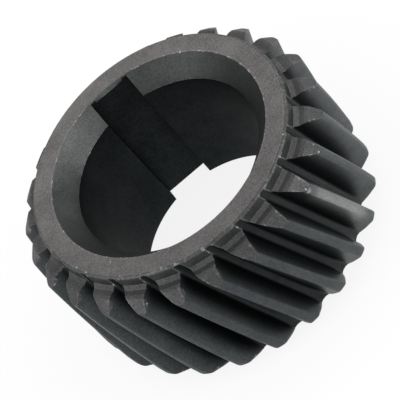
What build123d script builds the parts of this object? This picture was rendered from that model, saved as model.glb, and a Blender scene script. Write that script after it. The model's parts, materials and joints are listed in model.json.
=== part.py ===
"""Helical gear with a keyed bore and a raised hub face, turned and cut from one piece of steel.

Units are millimetres. The gear stands on its back face: the origin is the middle of that face, +Z runs
along the bore towards the raised hub face, and the keyway lies on the -Y side.
"""
import os
from math import asin, atan, cos, degrees, pi, radians, sin, sqrt, tan

from build123d import *

# ---- teeth -------------------------------------------------------------------------------------------
teeth = 25
normal_module = 2.5        # measured square to the tooth
pressure_angle = 20.0      # in the normal plane
helix_angle = 18.0         # left-hand
profile_shift = 0.15       # in modules, outwards
root_clearance = 0.2       # in modules
root_fillet = 0.9          # radius between flank and gap floor
tip_chamfer = 0.3          # along both edges of the tooth tip
tooth_angle = 3.9          # a tooth centre at the hub face, anticlockwise from +X

# ---- turned body -------------------------------------------------------------------------------------
length = 36.0              # back face to hub face
hub_height = 3.1           # hub face above the tooth ends
hub_margin = 0.6           # hub side outside the floor of the tooth gaps, which scallop it
hub_edge_break = 0.4       # small chamfer round the hub face
hub_flare_width = 0.6      # slope from the hub side down to the tooth ends, across the radius
hub_flare_height = 1.2     # and along the axis
end_bevel_width = 2.3      # bevel on the tooth ends at the hub, across the radius
end_bevel_height = 2.7     # and along the axis
back_bevel_width = 5.0     # bevel on the tooth ends at the back face
back_bevel_height = 3.5

# ---- bore and keyway ---------------------------------------------------------------------------------
bore_diameter = 43.0
bore_bevel_width = 4.0     # lead-in bevel at the hub face, across the radius
bore_bevel_height = 4.7    # and along the axis
bore_back_break = 0.6      # small chamfer at the back face
keyway_width = 10.0
keyway_depth = 3.3         # keyway floor beyond the bore wall

# ---- how the teeth are drawn ---------------------------------------------------------------------------
flank_steps = 4            # straight steps along each involute flank, up to just below the tip
round_steps = 3            # straight steps along the round between flank and floor
cutter_overrun = 1.0       # how far the shape of a tooth gap runs past the tooth tips
turning_allowance = 0.01   # the blank lies this far outside the tooth tips

# ---- worked out from the sizes above -----------------------------------------------------------------
pitch_radius = teeth * normal_module / cos(radians(helix_angle)) / 2
tip_radius = pitch_radius + (1 + profile_shift) * normal_module
root_radius = pitch_radius - (1 + root_clearance - profile_shift) * normal_module
face_pressure_angle = atan(tan(radians(pressure_angle)) / cos(radians(helix_angle)))
base_radius = pitch_radius * cos(face_pressure_angle)
pitch_step = 360 / teeth
twist = degrees(length * tan(radians(helix_angle)) / pitch_radius)

bore_radius = bore_diameter / 2
blank_radius = tip_radius + turning_allowance
hub_radius = root_radius + hub_margin
end_face_radius = tip_radius - end_bevel_width
back_face_radius = tip_radius - back_bevel_width
tooth_end_height = length - hub_height
tip_end_height = tooth_end_height - end_bevel_height


def involute(angle):
    """Angle turned from the foot of an involute to the point that has this pressure angle."""
    return tan(angle) - angle


def half_gap(radius):
    """Angle in degrees from the middle of a tooth gap to its flank, at this radius."""
    half_tooth_at_pitch = pi / 2 / teeth + 2 * profile_shift * tan(radians(pressure_angle)) / teeth
    flank_angle = atan(sqrt(max(radius**2 - base_radius**2, 0)) / base_radius)
    half_tooth = half_tooth_at_pitch + involute(face_pressure_angle) - involute(flank_angle)
    return pitch_step / 2 - degrees(half_tooth)


def polar(radius, angle):
    """Point of the flat outline at this radius and angle in degrees."""
    return (radius * cos(radians(angle)), radius * sin(radians(angle)))


# ---- one tooth gap, square to the bore: a flat floor, a round on each side of it, involute flanks -------
gap_top_radius = tip_radius + cutter_overrun
flank_top_radius = tip_radius - 2 * tip_chamfer
round_centre_radius = root_radius + root_fillet
round_centre_angle = half_gap(root_radius) - degrees(asin(root_fillet / round_centre_radius))
flank_foot_radius = sqrt(round_centre_radius**2 - root_fillet**2)


def gap_side(side):
    """Points up one side of the gap, from its floor to its top; side is 1 or -1."""
    centre = Vector(*polar(round_centre_radius, side * round_centre_angle))
    points = []
    for step in range(round_steps):
        spoke_angle = round_centre_angle + 180 - 90 * step / round_steps
        points.append(centre + Vector(*polar(root_fillet, side * spoke_angle)))
    for step in range(flank_steps + 1):
        radius = flank_foot_radius + (flank_top_radius - flank_foot_radius) * step / flank_steps
        points.append(Vector(*polar(radius, side * half_gap(radius))))
    points.append(Vector(*polar(gap_top_radius, side * half_gap(gap_top_radius))))
    return points


with BuildSketch() as tooth_gap:
    with BuildLine():
        Polyline(*gap_side(1), *reversed(gap_side(-1)), close=True)
    make_face()

# ---- outline of all the teeth at the back face, turned so that a gap lies on the plane's own X axis ----
back_outline_plane = Plane.XY.rotated((0, 0, tooth_angle + twist + pitch_step / 2))

with BuildSketch(back_outline_plane) as tooth_outline:
    Circle(tip_radius)
    with PolarLocations(0, teeth):
        add(tooth_gap.sketch, mode=Mode.SUBTRACT)
    chamfer(tooth_outline.vertices().sort_by_distance((0, 0))[-2 * teeth:], tip_chamfer)

# ---- turned blank with its bore, then the keyway, then the teeth ---------------------------------------
with BuildPart() as helical_gear:
    with BuildSketch(Plane.XZ):
        with BuildLine():
            Polyline(
                (bore_radius, bore_back_break),
                (bore_radius + bore_back_break, 0),
                (back_face_radius, 0),
                (blank_radius, back_bevel_height),
                (blank_radius, tip_end_height),
                (end_face_radius, tooth_end_height),
                (hub_radius + hub_flare_width, tooth_end_height),
                (hub_radius, tooth_end_height + hub_flare_height),
                (hub_radius, length - hub_edge_break),
                (hub_radius - hub_edge_break, length),
                (bore_radius + bore_bevel_width, length),
                (bore_radius, length - bore_bevel_height),
                close=True,
            )
        make_face()
    revolve(axis=Axis.Z)

    keyway_floor = bore_radius + keyway_depth
    with BuildSketch():
        with Locations((0, -keyway_floor / 2)):
            Rectangle(keyway_width, keyway_floor)
    extrude(amount=length, mode=Mode.SUBTRACT)

    with BuildLine() as bore_axis:
        Line((0, 0, 0), (0, 0, length))
    with BuildLine() as tooth_helix:
        Helix(pitch=length * 360 / twist, height=length, radius=pitch_radius, lefthand=True)
    sweep(
        tooth_outline.sketch,
        path=bore_axis.line,
        binormal=tooth_helix.wire(),
        mode=Mode.INTERSECT,
    )

helical_gear.part.label = "helical_gear"
os.makedirs("parts", exist_ok=True)
export_step(helical_gear.part, "parts/helical_gear.step")
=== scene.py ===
# %% [markdown]
# # A helical gear, bored and keyed
# This lesson dresses one gear. The real one is turned from a steel bar, its slanting teeth are cut by a hob,
# and the whole piece is blackened in hot salts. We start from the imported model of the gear, which fixes its
# place and its size, and make a finer skin with softened edges and a real finish.

# %% Open the frame
import json
from math import acos, asin, atan, cos, degrees, hypot, pi, radians, sin, sqrt, tan

import bmesh
import bpy
from mathutils import Matrix, Vector


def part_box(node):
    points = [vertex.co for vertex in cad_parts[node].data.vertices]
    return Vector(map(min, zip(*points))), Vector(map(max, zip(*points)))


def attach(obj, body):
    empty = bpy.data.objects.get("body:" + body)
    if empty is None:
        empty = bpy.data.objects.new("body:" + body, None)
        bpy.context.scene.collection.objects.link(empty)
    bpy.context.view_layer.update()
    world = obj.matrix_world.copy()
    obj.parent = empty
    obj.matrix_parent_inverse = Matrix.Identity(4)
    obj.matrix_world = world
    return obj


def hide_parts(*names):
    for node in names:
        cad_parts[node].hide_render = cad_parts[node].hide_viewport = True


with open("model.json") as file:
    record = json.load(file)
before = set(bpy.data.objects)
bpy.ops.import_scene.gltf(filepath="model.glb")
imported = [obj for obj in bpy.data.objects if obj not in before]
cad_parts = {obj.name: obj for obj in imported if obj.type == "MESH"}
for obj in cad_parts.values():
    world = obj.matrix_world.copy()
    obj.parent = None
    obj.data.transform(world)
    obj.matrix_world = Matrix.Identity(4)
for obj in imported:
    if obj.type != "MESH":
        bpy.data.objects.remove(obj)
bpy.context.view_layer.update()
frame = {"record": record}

# %% [markdown]
# ## Sizes
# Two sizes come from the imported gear: its length and the radius of its bore. The rest are the sizes that a
# gear cutter would read off the drawing, in millimetres and degrees. The radius of the tooth tips follows
# from them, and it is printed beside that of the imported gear, because the two have to agree.

# %% Sizes of the teeth
MM = 0.001
high_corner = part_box("helical_gear")[1]
mounts = {mount["name"]: mount for mount in frame["record"]["mounts"]}
length = high_corner.z
bore_radius = mounts["bore"]["dims"]["r_mm"] * MM

teeth = 25
normal_module = 2.5 * MM
pressure_angle = radians(20)
helix_angle = radians(18)
profile_shift = 0.15
root_clearance = 0.2
first_tooth_angle = radians(3.9)
root_fillet = 0.9 * MM
tip_rounding = 0.5 * MM

pitch_radius = teeth * normal_module / cos(helix_angle) / 2
tip_radius = pitch_radius + (1 + profile_shift) * normal_module
root_radius = pitch_radius - (1 + root_clearance - profile_shift) * normal_module
face_pressure_angle = atan(tan(pressure_angle) / cos(helix_angle))
base_radius = pitch_radius * cos(face_pressure_angle)
half_step = pi / teeth
print(f"tip radius {tip_radius / MM:.3f} mm, packed gear reaches {high_corner.x / MM:.3f} mm")

# %% Sizes of the turned body
hub_height = 3.1 * MM
hub_margin, hub_taper = 0.3 * MM, 0.2 * MM
hub_edge_rounding = 0.8 * MM
hub_flare_width, hub_flare_height = 1.05 * MM, 0.6 * MM
end_bevel_width, end_bevel_height = 3.0 * MM, 2.7 * MM
end_shoulder_width, end_shoulder_height = 0.75 * MM, 0.28 * MM
back_bevel_width, back_bevel_height = 5.0 * MM, 3.5 * MM
bore_bevel_width, bore_bevel_height = 4.0 * MM, 4.7 * MM
bore_back_break = 0.6 * MM
keyway_width, keyway_depth = 10.0 * MM, 3.3 * MM

hub_radius = root_radius + hub_margin
hub_top_radius = hub_radius - hub_taper
end_face_radius = tip_radius - end_bevel_width
back_face_radius = tip_radius - back_bevel_width
tooth_end_height = length - hub_height
tip_end_height = tooth_end_height - end_bevel_height
print(f"teeth run from 0 to {tooth_end_height / MM:.1f} mm, hub face at {length / MM:.1f} mm")

# %% [markdown]
# ## The tooth outline
# Cut square to its axis, a gear shows each flank as an involute: the path of the end of a string that is
# unwound from a base circle. A small round joins it to the floor of the gap, and a smaller one softens the
# tip. One function gives the angle from the middle of a gap to its side at any radius, so the outline is a
# rule and not a list of points.

# %% Angle of a gap's side at a radius
def involute(angle):
    """Angle that an involute has turned through where its pressure angle has grown to this one."""
    return tan(angle) - angle


def involute_side(radius):
    """Angle from the middle of a gap to the plain involute."""
    half_tooth = pi / 2 / teeth + 2 * profile_shift * tan(pressure_angle) / teeth
    flank_angle = atan(sqrt(max(radius**2 - base_radius**2, 0)) / base_radius)
    return half_step - half_tooth - involute(face_pressure_angle) + involute(flank_angle)


fillet_centre_radius = root_radius + root_fillet
fillet_centre_angle = involute_side(root_radius) - asin(root_fillet / fillet_centre_radius)
fillet_end_radius = sqrt(fillet_centre_radius**2 - root_fillet**2)


def gap_side(radius):
    """Angle from the middle of a gap to its side, with the round at the floor and the one at the tip."""
    if radius < fillet_end_radius:
        reach = fillet_centre_radius**2 + radius**2 - root_fillet**2
        return fillet_centre_angle + acos(min(reach / (2 * fillet_centre_radius * radius), 1))
    into_tip = max(radius - (tip_radius - tip_rounding), 0)
    rounding = tip_rounding - sqrt(max(tip_rounding**2 - into_tip**2, 0))
    return involute_side(radius) + rounding / radius


for name, radius in (("floor", root_radius), ("pitch", pitch_radius), ("tip", tip_radius)):
    print(f"half gap at the {name}: {degrees(gap_side(radius)):.2f} degrees")

# %% [markdown]
# ## The turned profile
# A lathe gives the blank its outline: back face, bevel, tooth tips, bevel, tooth ends, hub and hub face.
# A tool leaves no perfectly sharp corner, so each corner gets a small arc. The arcs catch the light as real
# edges do, which a knife-sharp mesh edge never does.

# %% Outline with softened corners
large_rounding = 0.5 * MM
small_arc_steps, large_arc_steps = 2, 5


def softened(corners):
    """Corners are (radius, height, rounding). Each one between the ends is replaced by an arc."""
    outline = [corners[0][:2]]
    for before, corner, after in zip(corners, corners[1:], corners[2:]):
        point, rounding = Vector(corner[:2]), corner[2]
        to_before = (Vector(before[:2]) - point).normalized()
        to_after = (Vector(after[:2]) - point).normalized()
        half_corner = acos(max(min(to_before.dot(to_after), 1), -1)) / 2
        centre = point + (to_before + to_after).normalized() * rounding / sin(half_corner)
        start = point + to_before * rounding / tan(half_corner) - centre
        end = point + to_after * rounding / tan(half_corner) - centre
        steps = small_arc_steps if rounding < large_rounding else large_arc_steps
        for step in range(steps + 1):
            spoke = start.lerp(end, step / steps).normalized() * rounding
            outline.append(tuple(centre + spoke))
    outline.append(corners[-1][:2])
    return outline


outside = softened([
    (bore_radius + bore_back_break, 0, 0),
    (back_face_radius, 0, 0.7 * MM),
    (tip_radius, back_bevel_height, 1.6 * MM),
    (tip_radius, tip_end_height, 0.25 * MM),
    (end_face_radius + end_shoulder_width, tooth_end_height - end_shoulder_height, 0.2 * MM),
    (end_face_radius, tooth_end_height, 0.2 * MM),
    (hub_radius + hub_flare_width, tooth_end_height, 0.2 * MM),
    (hub_radius, tooth_end_height + hub_flare_height, 0.2 * MM),
    (hub_top_radius, length, hub_edge_rounding),
    (bore_radius + bore_bevel_width, length, 0),
])[1:-1]
print("points on the turned outline:", len(outside))

# %% [markdown]
# ## One straight tooth
# The skin of the gear is wherever the cutter and the lathe both stopped, so at every point its radius is the
# smaller of two: the tooth outline's and the turned outline's. That makes one tooth a plain grid, with
# columns along the outline and rows along the axis. Every row of a bevel is placed at the radius of a
# column, so the edge between bevel and flank runs through grid points and stays clean. At the back the two
# outlines run into each other softly, because the real tooth ends are rounded over there.

# %% Columns of the tooth
flank_radii = [pitch_radius + offset * MM for offset in (-1.4, -0.5, 0.4, 1.3, 2.1)]
round_radii = [tip_radius - tip_rounding * share for share in (1, 0.8, 0.6, 0.4, 0.25, 0.12, 0.03)]
fillet_radii = [root_radius + (fillet_end_radius - root_radius) * share for share in (0.12, 0.4, 1)]
turned_radii = [radius for radius, height in outside if root_radius < radius < tip_radius]


def spread(needed, wished, gap):
    """All the needed values, and those of the wished ones that keep a gap to every other."""
    kept = list(needed)
    for value in sorted(wished):
        if all(abs(value - other) > gap for other in kept):
            kept.append(value)
    return sorted(kept)


column_gap = 0.15 * MM
side_radii = spread(round_radii + fillet_radii, flank_radii + turned_radii, column_gap)
half_outline = [(root_radius, gap_side(root_radius) * share) for share in (0, 0.5, 1)]
half_outline += [(radius, gap_side(radius)) for radius in side_radii]
tip_side = gap_side(tip_radius)
half_outline += [(tip_radius, tip_side + (half_step - tip_side) * share) for share in (0, 0.5, 1)]
tooth_outline = [(radius, -angle) for radius, angle in reversed(half_outline)] + half_outline[1:]
print("columns:", len(tooth_outline))

# %% Rows of the tooth
row_step, row_gap, wall_slack = 2.2 * MM, 0.02 * MM, 0.001 * MM


def rows_between(start, end):
    """Rows after start up to end: at the column radii on a slope, evenly along a straight wall."""
    if abs(end[0] - start[0]) < wall_slack:
        count = max(1, round(abs(end[1] - start[1]) / row_step))
        return [(end[0], start[1] + (end[1] - start[1]) * step / count) for step in range(1, count + 1)]
    inner, outer = sorted((start[0], end[0]))
    crossed = [
        radius for radius in [root_radius] + side_radii if inner + row_gap < radius < outer - row_gap
    ]
    crossed.sort(reverse=end[0] < start[0])
    slope = (end[1] - start[1]) / (end[0] - start[0])
    return [(radius, start[1] + (radius - start[0]) * slope) for radius in crossed] + [end]


flat_margin = 0.5 * MM
tooth_rows = [(root_radius - flat_margin, 0), outside[0]]
for start, end in zip(outside, outside[1:]):
    tooth_rows += rows_between(start, end)
tooth_rows.append((outside[-1][0] - flat_margin, length))
print("rows:", len(tooth_rows))

# %% Mesh of the straight tooth
def grid_mesh(name, rows, closed=False):
    """A mesh of quads through rows of points. Closed rows join their last point to their first."""
    width = len(rows[0])
    points = [point for row in rows for point in row]
    faces = []
    for row in range(len(rows) - 1):
        for column in range(width if closed else width - 1):
            right = (column + 1) % width
            faces.append((
                row * width + column, row * width + right,
                (row + 1) * width + right, (row + 1) * width + column,
            ))
    mesh = bpy.data.meshes.new(name)
    mesh.from_pydata(points, [], faces)
    return mesh


def smaller(first, second, blend):
    """The smaller of two radii, rounded over where they come within a blend distance of each other."""
    nearness = max(blend - abs(first - second), 0) / blend if blend > 0 else 0
    return min(first, second) - nearness**2 * blend / 4


back_blend, blend_fade = 0.9 * MM, 2.5 * MM
straight_rows = []
for turned, height in tooth_rows:
    blend = back_blend * min(max(1 - (height - back_bevel_height) / blend_fade, 0), 1)
    reaches = [smaller(radius, turned, blend if height > 0 else 0) for radius, angle in tooth_outline]
    straight_rows.append([
        (reach * cos(angle), reach * sin(angle), height)
        for reach, (radius, angle) in zip(reaches, tooth_outline)
    ])
toothed_skin = bpy.data.objects.new("toothed_skin", grid_mesh("straight_tooth", straight_rows))
bpy.context.collection.objects.link(toothed_skin)
print("one straight tooth:", len(toothed_skin.data.polygons), "faces")

# %% [markdown]
# ## Helix and pattern in Geometry Nodes
# A hob turns the gear slowly while it cuts, so each slice of the tooth is turned a little further than the
# one above it. The tree below does the same: it turns every point about the bore by an angle that grows with
# its depth, then sets one copy for each tooth round the axis and welds them. The number of teeth and the
# helix angle are inputs, so the same tree cuts any gear of this kind.

# %% Small helpers for node trees
def add_node(tree, kind, inputs=None, **settings):
    """A node with its settings, and its inputs either linked to a socket or set to a value."""
    node = tree.nodes.new(kind)
    for setting, value in settings.items():
        setattr(node, setting, value)
    for key, value in (inputs or {}).items():
        if isinstance(value, bpy.types.NodeSocket):
            tree.links.new(value, node.inputs[key])
        else:
            node.inputs[key].default_value = value
    return node


def calculate(tree, operation, first, second=0.0):
    """One step of arithmetic on two sockets or numbers."""
    return add_node(tree, "ShaderNodeMath", {0: first, 1: second}, operation=operation).outputs[0]


print("helpers:", add_node.__name__, calculate.__name__)

# %% The tree that twists and repeats a tooth
def helical_teeth_tree():
    """Turns each slice of a straight tooth by its depth, sets the copies round the axis and welds them."""
    tree = bpy.data.node_groups.new("helical_teeth", "GeometryNodeTree")
    tree.interface.new_socket(name="Geometry", in_out="INPUT", socket_type="NodeSocketGeometry")
    for label, kind in (
        ("Teeth", "NodeSocketInt"), ("Helix angle", "NodeSocketFloat"), ("Pitch radius", "NodeSocketFloat"),
        ("Hub face height", "NodeSocketFloat"), ("First gap angle", "NodeSocketFloat"),
        ("Weld distance", "NodeSocketFloat"), ("Steel", "NodeSocketMaterial"),
    ):
        tree.interface.new_socket(name=label, in_out="INPUT", socket_type=kind)
    tree.interface.new_socket(name="Geometry", in_out="OUTPUT", socket_type="NodeSocketGeometry")
    given = add_node(tree, "NodeGroupInput").outputs

    position = add_node(tree, "GeometryNodeInputPosition").outputs[0]
    height = add_node(tree, "ShaderNodeSeparateXYZ", {0: position}).outputs["Z"]
    depth = calculate(tree, "SUBTRACT", given["Hub face height"], height)
    turn_per_metre = calculate(
        tree, "DIVIDE", calculate(tree, "TANGENT", given["Helix angle"]), given["Pitch radius"])
    twist = calculate(tree, "MULTIPLY", depth, turn_per_metre)
    turn = calculate(tree, "ADD", twist, given["First gap angle"])
    turned = add_node(
        tree, "ShaderNodeVectorRotate", {"Vector": position, "Angle": turn}, rotation_type="Z_AXIS")
    twisted = add_node(
        tree, "GeometryNodeSetPosition", {"Geometry": given["Geometry"], "Position": turned.outputs[0]})

    places = add_node(tree, "GeometryNodeMeshLine", {"Count": given["Teeth"], "Offset": (0, 0, 0)})
    index = add_node(tree, "GeometryNodeInputIndex").outputs[0]
    step = calculate(tree, "DIVIDE", 2 * pi, given["Teeth"])
    round_axis = add_node(tree, "ShaderNodeCombineXYZ", {"Z": calculate(tree, "MULTIPLY", index, step)})
    copies = add_node(tree, "GeometryNodeInstanceOnPoints", {
        "Points": places.outputs[0], "Instance": twisted.outputs[0], "Rotation": round_axis.outputs[0]})
    real = add_node(tree, "GeometryNodeRealizeInstances", {0: copies.outputs[0]})
    welded = add_node(tree, "GeometryNodeMergeByDistance", {
        "Geometry": real.outputs[0], "Distance": given["Weld distance"]})
    coloured = add_node(tree, "GeometryNodeSetMaterial", {
        "Geometry": welded.outputs[0], "Material": given["Steel"]})
    add_node(tree, "NodeGroupOutput", {0: coloured.outputs[0]})
    return tree


teeth_tree = helical_teeth_tree()
print("nodes in the tree:", len(teeth_tree.nodes))

# %% [markdown]
# ## The finish
# Hot salts turn bare steel into a thin black oxide. It hides neither the metal's shine nor the marks of the
# tools, so the material is a dark metal with cloudy patches, a fine grain and, where a lathe tool passed,
# faint rings. On the edges the oxide is thin or knocked off and the steel shows brighter. One function makes
# all the finishes, because they differ only in how dark, how rough and how ringed the surface is, and in the
# light and shade painted into their colour. It calls two smaller ones, for the colour of the oxide with its
# painted light and shade, and for the bare metal that shows through it, with a painted highlight on one land.

# %% Places where the black has come off
bare_spots = [
    # x, y, z and reach in millimetres, and strength
    (-19.0, 30.2, 29.2, 1.0, 0.8), (-18.6, 30.5, 30.3, 0.4, 0.9), (4.6, 30.0, 36.0, 0.8, 0.7),
    (-17.2, -18.9, 36.0, 0.4, 0.9), (-25.1, -3.9, 36.0, 0.4, 0.9), (-25.6, -0.9, 36.0, 0.3, 0.9),
    (-22.3, 20.0, 36.0, 0.3, 0.8), (-25.7, 23.2, 31.5, 0.3, 0.8), (-25.5, 24.8, 30.3, 0.3, 0.8),
    (20.6, 27.1, 31.3, 0.3, 0.8), (21.2, 16.0, 36.0, 0.3, 0.8), (-33.6, 10.1, 30.6, 0.5, 0.7),
    (27.6, 10.8, 36.0, 0.4, 0.8), (26.5, 13.7, 36.0, 0.3, 0.8), (21.3, 20.9, 36.0, 0.35, 0.6),
    (12.8, 22.0, 36.0, 0.35, 0.8), (13.6, 26.6, 36.0, 0.5, 0.6), (10.9, 28.2, 35.8, 0.6, 0.6),
    (-20.9, -14.4, 36.0, 0.3, 0.9), (-22.9, -11.3, 36.0, 0.35, 0.7), (-25.5, 2.2, 36.0, 0.3, 0.8),
]
print("bare spots:", len(bare_spots))

# %% Helpers for patterns
def noise(tree, place, scale, detail, roughness):
    """A cloudy pattern in space, from 0 to 1, with its middle at 0.5."""
    return add_node(tree, "ShaderNodeTexNoise", {
        "Vector": place, "Scale": scale, "Detail": detail, "Roughness": roughness}).outputs["Fac"]


def remap(tree, value, taken, given=(0.0, 1.0), interpolation="LINEAR"):
    """Maps the taken range of a value to the given range, and holds the ends."""
    return add_node(tree, "ShaderNodeMapRange", {
        "Value": value, "From Min": taken[0], "From Max": taken[1], "To Min": given[0], "To Max": given[1],
    }, interpolation_type=interpolation).outputs[0]


def attribute(tree, name):
    """A number that the mesh carries at each of its points."""
    return add_node(tree, "ShaderNodeAttribute", attribute_name=name).outputs["Fac"]


print("helpers:", noise.__name__, remap.__name__, attribute.__name__)

# %% Colour of the oxide, with painted light and shade
def axis_distance(tree, place):
    """Distance of a point from the axis of the bore."""
    parts = add_node(tree, "ShaderNodeSeparateXYZ", {0: place}).outputs
    squares = [calculate(tree, "POWER", parts[axis], 2.0) for axis in ("X", "Y")]
    return calculate(tree, "SQRT", calculate(tree, "ADD", *squares))


def oxide_and_painted_light_colour(tree, place, tone, dark, light, gap_shade_and_tip_light, painted_side_light):
    """Dark to light by the tone, with painted shade in the gaps between the teeth, painted light at their
    tips and painted light towards one side.
    """
    ramp = add_node(tree, "ShaderNodeValToRGB", {"Fac": tone})
    for stop, position, colour in zip(ramp.color_ramp.elements, (0.4, 0.6), (dark, light)):
        stop.position = position
        stop.color = (*colour, 1)
    # Painted shade deep in the gaps between the teeth, and painted light towards their tips.
    shade = remap(
        tree, axis_distance(tree, place), (root_radius, tip_radius), (1 - gap_shade_and_tip_light, 1 + gap_shade_and_tip_light))
    # Painted light: one side of the part is made lighter in its colour, as if lit more from there.
    azimuth, start, end, least, most = painted_side_light
    along = add_node(tree, "ShaderNodeVectorMath", {
        0: place, 1: (cos(radians(azimuth)), sin(radians(azimuth)), 0)}, operation="DOT_PRODUCT")
    painted_side_brightness = remap(tree, along.outputs["Value"], (start * MM, end * MM), (least, most))
    return add_node(tree, "ShaderNodeVectorMath", {
        0: ramp.outputs["Color"], "Scale": calculate(tree, "MULTIPLY", shade, painted_side_brightness)},
        operation="SCALE").outputs[0]


print(f"the gaps darken from {tip_radius / MM:.1f} mm down to {root_radius / MM:.1f} mm from the axis")

# %% Bare metal and a painted highlight
def bare_metal_and_highlight(tree, place, tone, grain, wear):
    """How bare the steel is, from 0 to 1, on worn edges and at the bare spots, plus a painted highlight along
    one tooth's land.
    """
    crest = remap(tree, attribute(tree, "edge_wear"), (0.5, 1.0))
    patches = noise(tree, place, scale=1300.0, detail=2.0, roughness=0.6)
    nicks = remap(tree, patches, (0.56, 0.68), (0.12, 1.0))
    bare = calculate(tree, "MULTIPLY", calculate(tree, "MULTIPLY", crest, nicks), wear)
    speckle = remap(tree, grain, (0.42, 0.58), (0.2, 1.0))
    for x, y, z, reach, strength in bare_spots:
        distance = add_node(tree, "ShaderNodeVectorMath", {
            0: place, 1: (x * MM, y * MM, z * MM)}, operation="DISTANCE").outputs["Value"]
        spot = remap(tree, distance, (reach * MM, 0.0), (0.0, strength * 1.5), "SMOOTHSTEP")
        bare = calculate(tree, "MAXIMUM", bare, calculate(tree, "MULTIPLY", spot, speckle))
    # Painted highlight along the land of one tooth, streaked by the tone.
    highlight_streaks = calculate(tree, "ADD", calculate(tree, "MULTIPLY", tone, 0.8), 0.05)
    painted_land_highlight = calculate(tree, "MULTIPLY", attribute(tree, "land_highlight"), highlight_streaks)
    return calculate(tree, "MAXIMUM", bare, painted_land_highlight)


bare_steel_and_highlight_colour = (0.53, 0.54, 0.53, 1)
print("bare steel:", bare_steel_and_highlight_colour[:3])

# %% Material of blackened steel
def blackened_steel(
        name, dark, light, roughness, wear, painted_side_light, ring_strength=0.0, gap_shade_and_tip_light=0.0, grazing_shine=1.0):
    """One finish. The side ramp of painted light is an azimuth in degrees, the start and the end of a stretch
    along it in millimetres, and the painted brightness at that start and at that end."""
    material = bpy.data.materials.new(name)
    material.use_nodes = True
    tree = material.node_tree
    shader = tree.nodes["Principled BSDF"]
    place = add_node(tree, "ShaderNodeTexCoord").outputs["Object"]

    clouds = noise(tree, place, scale=160.0, detail=6.0, roughness=0.7)
    grain = noise(tree, place, scale=2800.0, detail=2.0, roughness=0.7)
    tone = calculate(
        tree, "ADD", calculate(tree, "MULTIPLY", clouds, 0.4), calculate(tree, "MULTIPLY", grain, 0.6))

    worn = add_node(tree, "ShaderNodeMix", {
        0: bare_metal_and_highlight(tree, place, tone, grain, wear),
        6: oxide_and_painted_light_colour(tree, place, tone, dark, light, gap_shade_and_tip_light, painted_side_light),
        7: bare_steel_and_highlight_colour}, data_type="RGBA")
    tree.links.new(worn.outputs[2], shader.inputs["Base Color"])
    shader.inputs["Metallic"].default_value = 1.0
    shader.inputs["Specular Tint"].default_value = (grazing_shine, grazing_shine, grazing_shine, 1)
    rough = remap(tree, tone, (0.3, 0.7), (roughness + 0.06, roughness - 0.06))
    tree.links.new(rough, shader.inputs["Roughness"])

    rings = add_node(tree, "ShaderNodeTexNoise", {
        "W": axis_distance(tree, place), "Scale": 5200.0, "Detail": 3.0}, noise_dimensions="1D")
    relief = calculate(
        tree, "ADD", calculate(tree, "MULTIPLY", rings.outputs["Fac"], ring_strength), grain)
    bump = add_node(tree, "ShaderNodeBump", {"Height": relief, "Strength": 0.12, "Distance": 0.02 * MM})
    tree.links.new(bump.outputs[0], shader.inputs["Normal"])
    return material


# No painted side light: the oxide keeps the same brightness from one side to the other.
no_painted_side_light = (0, -1, 1, 1.0, 1.0)
print("no thin side:", no_painted_side_light)

# %% The five finishes
# The side ramps below paint light on one side of the flanks, the hub face and the bevel, and the gap ramp of
# the flanks paints shade between the teeth and light at their tips.
flank_steel = blackened_steel(
    "flank_steel", dark=(0.033, 0.038, 0.041), light=(0.057, 0.062, 0.063), roughness=0.45,
    wear=0.4, gap_shade_and_tip_light=0.5, painted_side_light=(205, -34, 34, 0.85, 1.25))
end_steel = blackened_steel(
    "tooth_end_steel", dark=(0.052, 0.053, 0.053), light=(0.092, 0.093, 0.092), roughness=0.5,
    ring_strength=0.8, wear=0.2, painted_side_light=no_painted_side_light)
face_steel = blackened_steel(
    "hub_face_steel", dark=(0.106, 0.101, 0.101), light=(0.187, 0.177, 0.176), roughness=0.55,
    ring_strength=1.2, wear=1.5, painted_side_light=(250, -29, 29, 0.95, 1.18))
bevel_steel = blackened_steel(
    "bevel_steel", dark=(0.04, 0.043, 0.042), light=(0.062, 0.065, 0.064), roughness=0.5,
    ring_strength=1.0, wear=1.5, painted_side_light=(292, 18.5, 24, 1.0, 1.8))
# The bore's very dark colours and its dimmed grazing shine are painted shade for the inside of the hole.
bore_steel_shaded = blackened_steel(
    "bore_steel_shaded", dark=(0.011, 0.014, 0.015), light=(0.022, 0.0255, 0.0265), roughness=0.55,
    ring_strength=0.5, wear=0.0, painted_side_light=no_painted_side_light, grazing_shine=0.78)
finishes = [flank_steel, end_steel, face_steel, bevel_steel, bore_steel_shaded]
print("finishes:", [finish.name for finish in finishes])

# %% [markdown]
# ## Cutting the teeth
# Now the straight tooth goes through the tree. A modifier knows its inputs by the identifiers of their
# sockets, so a small function looks these up by name. The result is copied into a plain mesh and the object
# with the modifier is removed, because the next steps and the hand-over work on plain meshes.

# %% Cut the teeth
def set_input(modifier, label, value):
    """Sets a named input of a Geometry Nodes modifier through its socket's identifier."""
    sockets = modifier.node_group.interface.items_tree
    identifier = next(s.identifier for s in sockets if s.name == label and s.in_out == "INPUT")
    modifier[identifier] = value


cutting = toothed_skin.modifiers.new("helical_teeth", "NODES")
cutting.node_group = teeth_tree
for label, value in (
    ("Teeth", teeth), ("Helix angle", helix_angle), ("Pitch radius", pitch_radius),
    ("Hub face height", length), ("First gap angle", first_tooth_angle + half_step),
    ("Weld distance", 0.002 * MM), ("Steel", flank_steel),
):
    set_input(cutting, label, value)
evaluated = toothed_skin.evaluated_get(bpy.context.evaluated_depsgraph_get())
toothed_mesh = bpy.data.meshes.new_from_object(evaluated)
bpy.data.objects.remove(toothed_skin)
print("toothed skin:", len(toothed_mesh.polygons), "faces")

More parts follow.
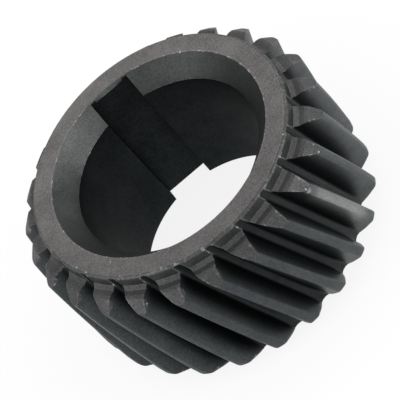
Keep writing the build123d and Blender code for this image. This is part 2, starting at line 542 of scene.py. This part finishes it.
# %% [markdown]
# ## Bore, bevel and keyway
# The bore is turned, and the keyway is then pulled through it by a broach with a square end. So the section
# at any height is a circle with a notch, where the notch's floor stays put and the circle's radius follows
# the turned profile. Near the hub face the lead-in bevel opens wider than the notch and swallows it.

# %% Section of the bore at one height
round_steps, wall_steps, floor_steps = 168, 3, 8
keyway_floor = bore_radius + keyway_depth


def bore_section(radius, height):
    """Points once round the bore: the circle, one wall of the notch, its floor and the other wall."""
    half_width = keyway_width / 2
    edge_angle = asin(half_width / radius)
    arc = 2 * (pi - edge_angle)
    section = []
    for step in range(round_steps + 1):
        angle = -pi / 2 + edge_angle + arc * step / round_steps
        section.append((radius * cos(angle), radius * sin(angle), height))
    wall_top = sqrt(radius**2 - half_width**2)
    wall_bottom = max(keyway_floor, wall_top)
    for step in range(1, wall_steps):
        section.append((-half_width, -wall_top - (wall_bottom - wall_top) * step / wall_steps, height))
    for step in range(floor_steps + 1):
        x = half_width * (2 * step / floor_steps - 1)
        section.append((x, -max(keyway_floor, sqrt(radius**2 - x**2)), height))
    for step in range(1, wall_steps):
        section.append((half_width, -wall_bottom + (wall_bottom - wall_top) * step / wall_steps, height))
    return section


print("points in one section:", len(bore_section(bore_radius, 0)))

# %% Skin of the bore
inside = softened([
    (back_face_radius, 0, 0),
    (bore_radius + bore_back_break, 0, 0.15 * MM),
    (bore_radius, bore_back_break, 0.15 * MM),
    (bore_radius, length - bore_bevel_height, 0.3 * MM),
    (bore_radius + bore_bevel_width, length, 0.2 * MM),
    (hub_top_radius - hub_edge_rounding, length, 0),
])[1:-1]
# The bevel also gets a row where it reaches the notch's floor and one where it reaches its corners.
keyway_runout = [keyway_floor, hypot(keyway_width / 2, keyway_floor)]
bore_rows = [inside[0]]
for start, end in zip(inside, inside[1:]):
    widening = end[0] - start[0]
    count = max(1, round(hypot(widening, end[1] - start[1]) / row_step))
    stops = [step / count for step in range(1, count + 1)]
    if widening > MM:
        stops = sorted(stops + [(radius - start[0]) / widening for radius in keyway_runout])
    bore_rows += [tuple(Vector(start).lerp(Vector(end), stop)) for stop in stops]
bore_sections = [bore_section(radius, height) for radius, height in bore_rows]
bore_mesh = grid_mesh("bore_skin", bore_sections, closed=True)
print("bore rows:", len(bore_rows), "faces:", len(bore_mesh.polygons))

# %% [markdown]
# ## One closed skin
# The toothed skin and the bore skin are joined, and the two flat rings between them, the hub face and the
# back face, are filled. The mesh is then closed all round, as a solid piece of steel is.

# %% Join the skins and fill the two flat faces
weld_distance, level_slack = 0.001 * MM, 0.01 * MM
skin = bmesh.new()
skin.from_mesh(toothed_mesh)
skin.from_mesh(bore_mesh)
bmesh.ops.remove_doubles(skin, verts=skin.verts, dist=weld_distance)
for level in (0.0, length):
    rim = [
        edge for edge in skin.edges
        if edge.is_boundary and all(abs(vert.co.z - level) < level_slack for vert in edge.verts)
    ]
    filled = bmesh.ops.triangle_fill(skin, edges=rim, use_beauty=True)
    print(f"flat face at {level / MM:.0f} mm:", len(filled["geom"]), "parts")
bmesh.ops.recalc_face_normals(skin, faces=skin.faces)
open_edges = sum(edge.is_boundary for edge in skin.edges)
print("open edges:", open_edges, "volume in mm3:", round(skin.calc_volume() / MM**3))

# %% [markdown]
# ## Where the edges wear
# An edge that stands out is rubbed when gears are handled, so each point of the mesh gets a number that
# tells how sharply its surface bends outwards. The materials read it as edge_wear. A second number falls off
# around a line on the land of one tooth and makes a painted highlight there. Wear could be
# painted on by hand, but a number that is worked out from the shape follows it when a size changes.

# %% Split the bent faces
# A face whose four corners don't lie in one plane is cut along the diagonal that makes it stand out.
flatness = 0.01 * MM
before_split = len(skin.faces)
for face in [face for face in skin.faces if len(face.verts) == 4]:
    one, two, three, four = face.verts
    bulge = ((one.co + three.co - two.co - four.co) / 2).dot(face.normal)
    if abs(bulge) > flatness:
        bmesh.utils.face_split(face, *((one, three) if bulge > 0 else (two, four)))
print("faces split:", len(skin.faces) - before_split)

# %% Numbers for worn edges and the painted land highlight
worn_bend = radians(22)
highlight_start, highlight_end = Vector((-20.2, 29.5, 25.0)) * MM, Vector((-24.3, 26.0, 9.5)) * MM
highlight_reach = 4.0 * MM
highlight_line = highlight_end - highlight_start
keyway_margin = 1.0 * MM


def in_keyway(point):
    """Whether a point lies in the keyway or close beside it, where nothing rubs."""
    beside = abs(point.x) < keyway_width / 2 + keyway_margin
    return beside and point.y < 0 and hypot(*point.xy) < keyway_floor + keyway_margin


wear_layer = skin.verts.layers.float.new("edge_wear")
highlight_layer = skin.verts.layers.float.new("land_highlight")
for vert in skin.verts:
    bends = [edge.calc_face_angle_signed(0.0) for edge in vert.link_edges if edge.is_manifold]
    worn = min(max(max(bends, default=0.0) / worn_bend, 0.0), 1.0)
    vert[wear_layer] = 0.0 if in_keyway(vert.co) else worn
    # A painted highlight falls off from a line along one tooth's land.
    share = (vert.co - highlight_start).dot(highlight_line) / highlight_line.length_squared
    nearest = highlight_start.lerp(highlight_end, min(max(share, 0.0), 1.0))
    vert[highlight_layer] = max(1 - (vert.co - nearest).length / highlight_reach, 0.0)
print("points with a fully worn edge:", sum(vert[wear_layer] == 1.0 for vert in skin.verts))

# %% [markdown]
# ## One finish for each zone
# The oxide differs from zone to zone. The hub face, the bevels and the tooth ends are turned and the flanks
# are hobbed. The bore, which nothing rubs, shows no worn metal, and its blackest colour is painted shade for
# the inside of the hole; the wall under the hub takes the darker bevel colour as painted shade. The zones
# need no
# painting either: where a face lies and which way it points tell which zone it is in.

# %% Zones of the skin
zones = {finish.name: index for index, finish in enumerate(finishes)}
face_margin = 0.05 * MM
bore_edge_radius = bore_radius + bore_bevel_width
above_gap_floor = 1.002 * root_radius
upright_slope, level_slope = 0.3, 0.4


def zone_of(face):
    """Name of the finish of a face, from its place and from how far up it points."""
    centre, slope = face.calc_center_median(), face.normal.z
    reach = hypot(centre.x, centre.y)
    if centre.z > length - face_margin and reach > bore_edge_radius:
        return "hub_face_steel"
    in_bore_bevel = reach < bore_edge_radius and slope > upright_slope
    # The wall under the hub takes the darker bevel finish as painted shade in the step.
    in_shaded_hub_wall = (
        centre.z > tooth_end_height and above_gap_floor < reach < hub_radius and slope < upright_slope)
    if in_bore_bevel or in_shaded_hub_wall:
        return "bevel_steel"
    if reach < bore_edge_radius and abs(slope) < upright_slope:
        return "bore_steel_shaded"
    return "tooth_end_steel" if abs(slope) > level_slope else "flank_steel"


for face in skin.faces:
    face.smooth = True
    face.material_index = zones[zone_of(face)]
for name, index in zones.items():
    print(name, sum(face.material_index == index for face in skin.faces), "faces")

# %% The finished gear
# Edges that bend more than the sharp angle keep a crease, and the rest are shaded smooth.
sharp_angle = radians(30)
gear_mesh = bpy.data.meshes.new("helical_gear_skin")
skin.to_mesh(gear_mesh)
skin.free()
gear_mesh.set_sharp_from_angle(angle=sharp_angle)
for finish in finishes:
    gear_mesh.materials.append(finish)
gear = bpy.data.objects.new("helical_gear_finished", gear_mesh)
bpy.context.collection.objects.link(gear)
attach(gear, "root")
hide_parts("helical_gear")
print("faces:", len(gear_mesh.polygons))

# %% [markdown]
# ## A pale studio
# A near-white floor and a pale background give a metal object something light to mirror. A floor bright
# enough to look white under the lamps would also throw too much light up at the gear. So its paint is plain,
# and a white glow is mixed in only where the camera sees the floor, straight or mirrored.

# %% Floor
def seen_or_mirrored(tree):
    """1 where the camera looks straight at a surface or sees it mirrored, 0 where it only gives light."""
    ray = add_node(tree, "ShaderNodeLightPath").outputs
    mirrored = calculate(tree, "MAXIMUM", ray["Is Glossy Ray"], ray["Is Transmission Ray"])
    return calculate(tree, "MAXIMUM", ray["Is Camera Ray"], mirrored)


bpy.ops.mesh.primitive_plane_add(size=4, location=(0, 0, 0))
floor = bpy.context.object
floor.name = "floor"
floor_paint = bpy.data.materials.new("pale_floor")
floor_paint.use_nodes = True
tree = floor_paint.node_tree
floor_shader = tree.nodes["Principled BSDF"]
floor_shader.inputs["Base Color"].default_value = (0.9, 0.9, 0.9, 1)
floor_shader.inputs["Roughness"].default_value = 0.7
white = add_node(tree, "ShaderNodeEmission", {"Color": (1, 1, 1, 1), "Strength": 1.0})
glow = calculate(tree, "MULTIPLY", seen_or_mirrored(tree), 0.85)
whitened = add_node(tree, "ShaderNodeMixShader", {
    0: glow, 1: floor_shader.outputs[0], 2: white.outputs[0]})
tree.links.new(whitened.outputs[0], tree.nodes["Material Output"].inputs["Surface"])
floor.data.materials.append(floor_paint)
print("floor:", floor.name, "painted with", floor_paint.name)

# %% Pale surroundings
world = bpy.data.worlds.new("studio")
bpy.context.scene.world = world
world.use_nodes = True
tree = world.node_tree
tree.nodes.clear()
sky = add_node(tree, "ShaderNodeBackground", {"Color": (1, 1, 1, 1), "Strength": 1.0})
add_node(tree, "ShaderNodeOutputWorld", {0: sky.outputs[0]})
print("surroundings:", world.name)

# %% [markdown]
# ## Camera
# From half above, the hub face, the bore and the teeth show together, and a long lens keeps the near and the
# far teeth nearly the same size. The camera is told by the point it aims at, its azimuth and elevation, and
# how far it is rolled about its own view. Its right, up and backward directions also place the lamps.

# %% Camera
aim = Vector((0.02, 0.66, 17.36)) * MM
view_azimuth, view_elevation, camera_roll = radians(93.06), radians(45.36), radians(42.41)
camera_distance = 453.54 * MM
away = Vector((
    cos(view_elevation) * cos(view_azimuth), cos(view_elevation) * sin(view_azimuth), sin(view_elevation)))
level_right = (-away).cross(Vector((0, 0, 1))).normalized()
level_up = level_right.cross(-away)
camera_up = level_up * cos(camera_roll) + level_right * sin(camera_roll)
camera_right = (-away).cross(camera_up)

camera_data = bpy.data.cameras.new("camera")
camera_data.sensor_width = 36
camera_data.lens = 190.5
camera = bpy.data.objects.new("camera", camera_data)
bpy.context.collection.objects.link(camera)
turn = Matrix((camera_right, camera_up, away)).transposed()
camera.matrix_world = Matrix.Translation(aim + away * camera_distance) @ turn.to_4x4()
bpy.context.scene.camera = camera
print("camera stands at", [round(part / MM) for part in camera.matrix_world.translation], "mm")

# %% [markdown]
# ## Lights
# Black metal shows its shape by what it mirrors. The main lamp stands low on the left, the side lamp to the
# right and a little up, and the rim lamp above, level with the gear. Their light comes on top of the white
# surroundings, so all three are weak, and wide, because a wide lamp gives soft highlights.

# %% Lights
lamp_distance = 0.8


def soft_light(name, towards, size, power):
    """A square lamp in a direction (right, up, towards the camera) from the gear, aimed at it."""
    direction = (camera_right * towards[0] + camera_up * towards[1] + away * towards[2]).normalized()
    lamp = bpy.data.lights.new(name, "AREA")
    lamp.shape = "SQUARE"
    lamp.size = size
    lamp.energy = power
    holder = bpy.data.objects.new(name, lamp)
    bpy.context.collection.objects.link(holder)
    holder.location = aim + direction * lamp_distance
    holder.rotation_euler = direction.to_track_quat("Z", "Y").to_euler()


for name, towards, size, power in (
    ("main_light", (-0.75, -0.42, 0.5), 0.5, 1.4),
    ("side_light", (0.65, 0.4, 0.65), 0.4, 1.75),
    ("rim_light", (0.2, 0.95, 0.0), 0.4, 0.8),
):
    soft_light(name, towards, size, power)
    print(name, power, "W")
bpy.context.scene.view_settings.view_transform = "Standard"
